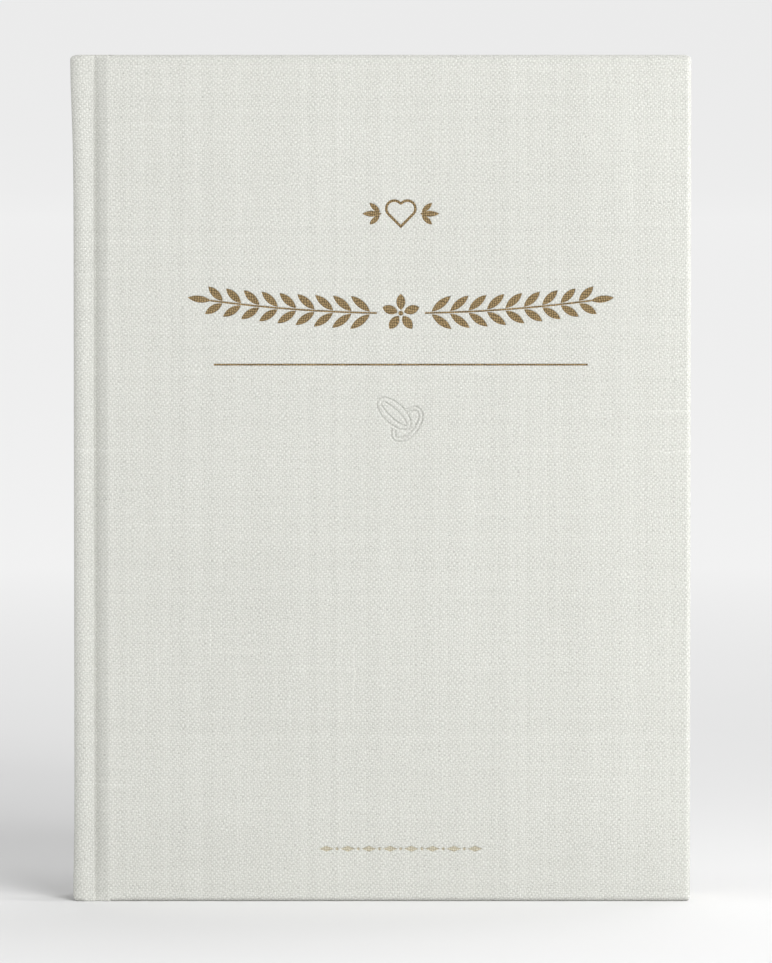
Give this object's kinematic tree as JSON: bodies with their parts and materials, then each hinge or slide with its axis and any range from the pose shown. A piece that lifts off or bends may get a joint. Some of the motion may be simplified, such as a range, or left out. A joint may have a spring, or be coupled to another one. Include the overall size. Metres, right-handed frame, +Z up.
{
  "type": "wedding guest book",
  "caption": "Cloth-covered hardback wedding guest book, standing upright, with a French groove, gold-stamped ornaments, sewn pages and covers that open flat.",
  "frame": {"origin": "middle of the closed book's footprint, on the surface that it stands on", "axes": "+Z up from tail to head, front cover facing -Y, spine on -X, fore-edge on +X"},
  "size_m": [0.18, 0.0266, 0.247],
  "materials": {
    "cover_cloth": "off-white woven linen book cloth",
    "board": "dense grey-brown binder's board",
    "endpaper": "smooth uncoated ivory endpaper",
    "page_paper": "uncoated off-white writing paper",
    "mull": "open-weave cotton gauze",
    "kraft_liner": "brown kraft paper",
    "tape": "cotton tape",
    "thread": "waxed linen thread",
    "headband_silk": "woven band with a ribbed edge",
    "gold_foil": "dark gold hot-stamped foil, weave showing through",
    "pale_gold_foil": "pale gold hot-stamped foil"
  },
  "bodies": {
    "book_block": {"section_folds": "page_paper", "section_06": "page_paper", "section_07": "page_paper", "spine_cloth": "cover_cloth", "spine_board": "board", "spine_liner": "kraft_liner", "spine_mull": "mull", "sewing_tapes": "tape", "sewing_thread": "thread", "headband": "headband_silk", "tailband": "headband_silk", "front_joint_cloth": "cover_cloth", "front_joint_endpaper": "endpaper", "back_joint_cloth": "cover_cloth", "back_joint_endpaper": "endpaper"},
    "front_cover": {"front_cover_cloth": "cover_cloth", "front_board": "board", "front_pastedown": "endpaper", "front_mull_flap": "mull", "sprig_foil": "gold_foil", "garland_foil": "gold_foil", "rule_foil": "gold_foil", "lozenge_foil": "pale_gold_foil"},
    "back_cover": {"back_cover_cloth": "cover_cloth", "back_board": "board", "back_pastedown": "endpaper", "back_mull_flap": "mull"},
    "front_flyleaf": {"front_flyleaf": "endpaper"},
    "section_01_leaves": {"section_01": "page_paper"},
    "section_02_leaves": {"section_02": "page_paper"},
    "section_03_leaves": {"section_03": "page_paper"},
    "section_04_leaves": {"section_04": "page_paper"},
    "section_05_leaves": {"section_05": "page_paper"},
    "back_flyleaf": {"back_flyleaf": "endpaper"},
    "section_12_leaves": {"section_12": "page_paper"},
    "section_11_leaves": {"section_11": "page_paper"},
    "section_10_leaves": {"section_10": "page_paper"},
    "section_09_leaves": {"section_09": "page_paper"},
    "section_08_leaves": {"section_08": "page_paper"}
  },
  "joints": [
    {"name": "front_cover_hinge", "type": "hinge", "parent": "book_block", "child": "front_cover", "pos_m": [-0.0851, -0.0098, 0.1235], "axis": [0, 0, -1], "range_deg": [0, 179], "deforming": ["front_joint_cloth", "front_joint_endpaper"]},
    {"name": "front_flyleaf_turn", "type": "hinge", "parent": "book_block", "child": "front_flyleaf", "pos_m": [-0.0851, -0.0098, 0.1235], "axis": [0, 0, -1], "range_deg": [0, 165]},
    {"name": "section_01_turn", "type": "hinge", "parent": "book_block", "child": "section_01_leaves", "pos_m": [-0.0851, -0.0098, 0.1235], "axis": [0, 0, -1], "range_deg": [0, 140]},
    {"name": "section_02_turn", "type": "hinge", "parent": "book_block", "child": "section_02_leaves", "pos_m": [-0.0851, -0.0098, 0.1235], "axis": [0, 0, -1], "range_deg": [0, 115]},
    {"name": "section_03_turn", "type": "hinge", "parent": "book_block", "child": "section_03_leaves", "pos_m": [-0.0851, -0.0098, 0.1235], "axis": [0, 0, -1], "range_deg": [0, 90]},
    {"name": "section_04_turn", "type": "hinge", "parent": "book_block", "child": "section_04_leaves", "pos_m": [-0.0851, -0.0098, 0.1235], "axis": [0, 0, -1], "range_deg": [0, 65]},
    {"name": "section_05_turn", "type": "hinge", "parent": "book_block", "child": "section_05_leaves", "pos_m": [-0.0851, -0.0098, 0.1235], "axis": [0, 0, -1], "range_deg": [0, 40]},
    {"name": "back_cover_hinge", "type": "hinge", "parent": "book_block", "child": "back_cover", "pos_m": [-0.0851, 0.0098, 0.1235], "axis": [0, 0, 1], "range_deg": [0, 179], "deforming": ["back_joint_cloth", "back_joint_endpaper"]},
    {"name": "back_flyleaf_turn", "type": "hinge", "parent": "book_block", "child": "back_flyleaf", "pos_m": [-0.0851, 0.0098, 0.1235], "axis": [0, 0, 1], "range_deg": [0, 165]},
    {"name": "section_12_turn", "type": "hinge", "parent": "book_block", "child": "section_12_leaves", "pos_m": [-0.0851, 0.0098, 0.1235], "axis": [0, 0, 1], "range_deg": [0, 140]},
    {"name": "section_11_turn", "type": "hinge", "parent": "book_block", "child": "section_11_leaves", "pos_m": [-0.0851, 0.0098, 0.1235], "axis": [0, 0, 1], "range_deg": [0, 115]},
    {"name": "section_10_turn", "type": "hinge", "parent": "book_block", "child": "section_10_leaves", "pos_m": [-0.0851, 0.0098, 0.1235], "axis": [0, 0, 1], "range_deg": [0, 90]},
    {"name": "section_09_turn", "type": "hinge", "parent": "book_block", "child": "section_09_leaves", "pos_m": [-0.0851, 0.0098, 0.1235], "axis": [0, 0, 1], "range_deg": [0, 65]},
    {"name": "section_08_turn", "type": "hinge", "parent": "book_block", "child": "section_08_leaves", "pos_m": [-0.0851, 0.0098, 0.1235], "axis": [0, 0, 1], "range_deg": [0, 40]}
  ],
  "couplings": [
    {"joint": "front_flyleaf_turn", "follows": "front_cover_hinge", "ratio": 0.9217},
    {"joint": "section_01_turn", "follows": "front_cover_hinge", "ratio": 0.7821},
    {"joint": "section_02_turn", "follows": "front_cover_hinge", "ratio": 0.6424},
    {"joint": "section_03_turn", "follows": "front_cover_hinge", "ratio": 0.5027},
    {"joint": "section_04_turn", "follows": "front_cover_hinge", "ratio": 0.3631},
    {"joint": "section_05_turn", "follows": "front_cover_hinge", "ratio": 0.2234},
    {"joint": "back_flyleaf_turn", "follows": "back_cover_hinge", "ratio": 0.9217},
    {"joint": "section_12_turn", "follows": "back_cover_hinge", "ratio": 0.7821},
    {"joint": "section_11_turn", "follows": "back_cover_hinge", "ratio": 0.6424},
    {"joint": "section_10_turn", "follows": "back_cover_hinge", "ratio": 0.5027},
    {"joint": "section_09_turn", "follows": "back_cover_hinge", "ratio": 0.3631},
    {"joint": "section_08_turn", "follows": "back_cover_hinge", "ratio": 0.2234}
  ]
}
